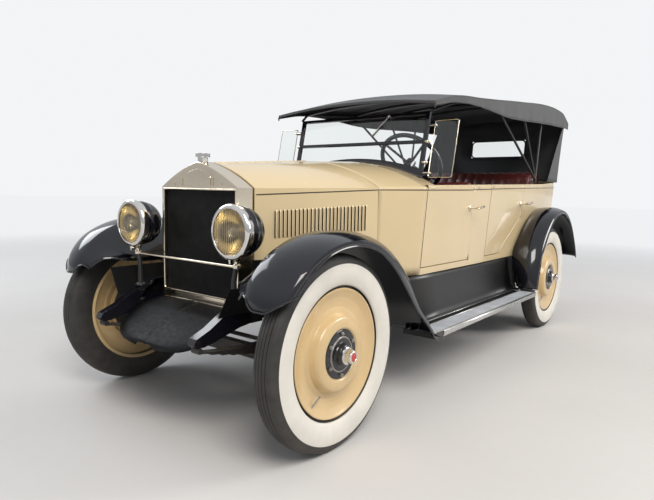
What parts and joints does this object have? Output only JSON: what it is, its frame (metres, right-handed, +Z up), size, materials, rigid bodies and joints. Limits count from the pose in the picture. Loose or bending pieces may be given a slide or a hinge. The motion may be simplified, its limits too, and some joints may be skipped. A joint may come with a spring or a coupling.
{
  "type": "touring car",
  "caption": "1920s touring car with a folding cloth top, four side doors, disc wheels and a spare wheel on the tail.",
  "frame": {"origin": "bottom centre of the whole car's box, on the floor", "axes": "+X to the car's left, -Y forward, +Z up; the car's length lies along Y"},
  "size_m": [1.68, 4.231, 1.9052],
  "materials": {
    "cream_enamel": "gloss",
    "black_enamel": "gloss",
    "nickel": "polished",
    "core": "matte",
    "tyre": "matte",
    "cloth": "woven",
    "leather": "satin",
    "glass": "clear",
    "wood": "satin",
    "mat": "ribbed",
    "iron": "matte",
    "lens": "fluted"
  },
  "bodies": {
    "chassis": {"chassis_frame": "black_enamel", "front_axle": "iron", "rear_axle": "iron", "springs": "iron", "engine_block": "iron", "exhaust": "iron", "fuel_tank": "black_enamel", "radiator_shell": "nickel", "radiator_core": "core", "radiator_cap": "nickel", "bonnet_hinge": "nickel", "cowl": "cream_enamel", "dashboard": "wood", "body_tub": "cream_enamel", "floor": "wood", "front_seat": "leather", "rear_seat": "leather", "windscreen_frame": "black_enamel", "windscreen_glass": "glass", "wind_wings": "glass", "steering_column": "black_enamel", "top_cover": "cloth", "rear_curtain": "cloth", "top_bows": "wood", "front_fenders": "black_enamel", "rear_fenders": "black_enamel", "running_boards": "mat", "splash_aprons": "black_enamel", "headlamps": "nickel", "headlamp_lenses": "lens", "lamp_bar": "black_enamel", "tail_lamp": "black_enamel", "spare_carrier": "black_enamel", "spare_wheel": "cream_enamel", "spare_tyre": "tyre"},
    "tie_rod_link": {"tie_rod": "iron"},
    "steering_wheel_turner": {"steering_wheel": "black_enamel"},
    "knuckle_left_body": {"knuckle_left": "iron"},
    "front_wheel_left": {"wheel_front_left": "cream_enamel", "tyre_front_left": "tyre"},
    "rear_wheel_left": {"wheel_rear_left": "cream_enamel", "tyre_rear_left": "tyre"},
    "front_door_left": {"door_front_left": "cream_enamel"},
    "rear_door_left": {"door_rear_left": "cream_enamel"},
    "bonnet_lid_left": {"bonnet_left": "cream_enamel"},
    "knuckle_right_body": {"knuckle_right": "iron"},
    "front_wheel_right": {"wheel_front_right": "cream_enamel", "tyre_front_right": "tyre"},
    "rear_wheel_right": {"wheel_rear_right": "cream_enamel", "tyre_rear_right": "tyre"},
    "front_door_right": {"door_front_right": "cream_enamel"},
    "rear_door_right": {"door_rear_right": "cream_enamel"},
    "bonnet_lid_right": {"bonnet_right": "cream_enamel"}
  },
  "joints": [
    {"name": "steer_left", "type": "hinge", "parent": "chassis", "child": "knuckle_left_body", "pos_m": [0.62, -1.6745, 0.419], "axis": [0, 0, 1], "range_deg": [-24, 24]},
    {"name": "spin_front_left", "type": "hinge", "parent": "knuckle_left_body", "child": "front_wheel_left", "pos_m": [0.711, -1.6745, 0.419], "axis": [1, 0, 0], "continuous": true},
    {"name": "spin_rear_left", "type": "hinge", "parent": "chassis", "child": "rear_wheel_left", "pos_m": [0.711, 1.2465, 0.419], "axis": [1, 0, 0], "continuous": true},
    {"name": "front_door_hinge_left", "type": "hinge", "parent": "chassis", "child": "front_door_left", "pos_m": [0.64613, -0.716, 0.9], "axis": [0, 0, -1], "range_deg": [0, 65]},
    {"name": "rear_door_hinge_left", "type": "hinge", "parent": "chassis", "child": "rear_door_left", "pos_m": [0.66697, 0.1585, 0.9], "axis": [0, 0, -1], "range_deg": [0, 65]},
    {"name": "bonnet_hinge_left", "type": "hinge", "parent": "chassis", "child": "bonnet_lid_left", "pos_m": [0, -1.3615, 1.234], "axis": [0, -0.9976, -0.0689], "range_deg": [0, 45]},
    {"name": "steer_right", "type": "hinge", "parent": "chassis", "child": "knuckle_right_body", "pos_m": [-0.62, -1.6745, 0.419], "axis": [0, 0, 1], "range_deg": [-24, 24]},
    {"name": "spin_front_right", "type": "hinge", "parent": "knuckle_right_body", "child": "front_wheel_right", "pos_m": [-0.711, -1.6745, 0.419], "axis": [1, 0, 0], "continuous": true},
    {"name": "spin_rear_right", "type": "hinge", "parent": "chassis", "child": "rear_wheel_right", "pos_m": [-0.711, 1.2465, 0.419], "axis": [1, 0, 0], "continuous": true},
    {"name": "front_door_hinge_right", "type": "hinge", "parent": "chassis", "child": "front_door_right", "pos_m": [-0.64613, -0.716, 0.9], "axis": [0, 0, 1], "range_deg": [0, 65]},
    {"name": "rear_door_hinge_right", "type": "hinge", "parent": "chassis", "child": "rear_door_right", "pos_m": [-0.66697, 0.1585, 0.9], "axis": [0, 0, 1], "range_deg": [0, 65]},
    {"name": "bonnet_hinge_right", "type": "hinge", "parent": "chassis", "child": "bonnet_lid_right", "pos_m": [0, -1.3615, 1.234], "axis": [0, 0.9976, 0.0689], "range_deg": [0, 45]},
    {"name": "tie_rod_pin", "type": "hinge", "parent": "knuckle_left_body", "child": "tie_rod_link", "pos_m": [0.62, -1.5045, 0.329], "axis": [0, 0, 1], "range_deg": [-24, 24]},
    {"name": "steering_wheel_turn", "type": "hinge", "parent": "chassis", "child": "steering_wheel_turner", "pos_m": [0.29, -0.304, 1.29], "axis": [0, 0.788, 0.6157], "range_deg": [-360, 360]}
  ],
  "couplings": [
    {"joint": "steer_right", "follows": "steer_left", "ratio": 1},
    {"joint": "tie_rod_pin", "follows": "steer_left", "ratio": -1},
    {"joint": "steering_wheel_turn", "follows": "steer_left", "ratio": 15}
  ]
}
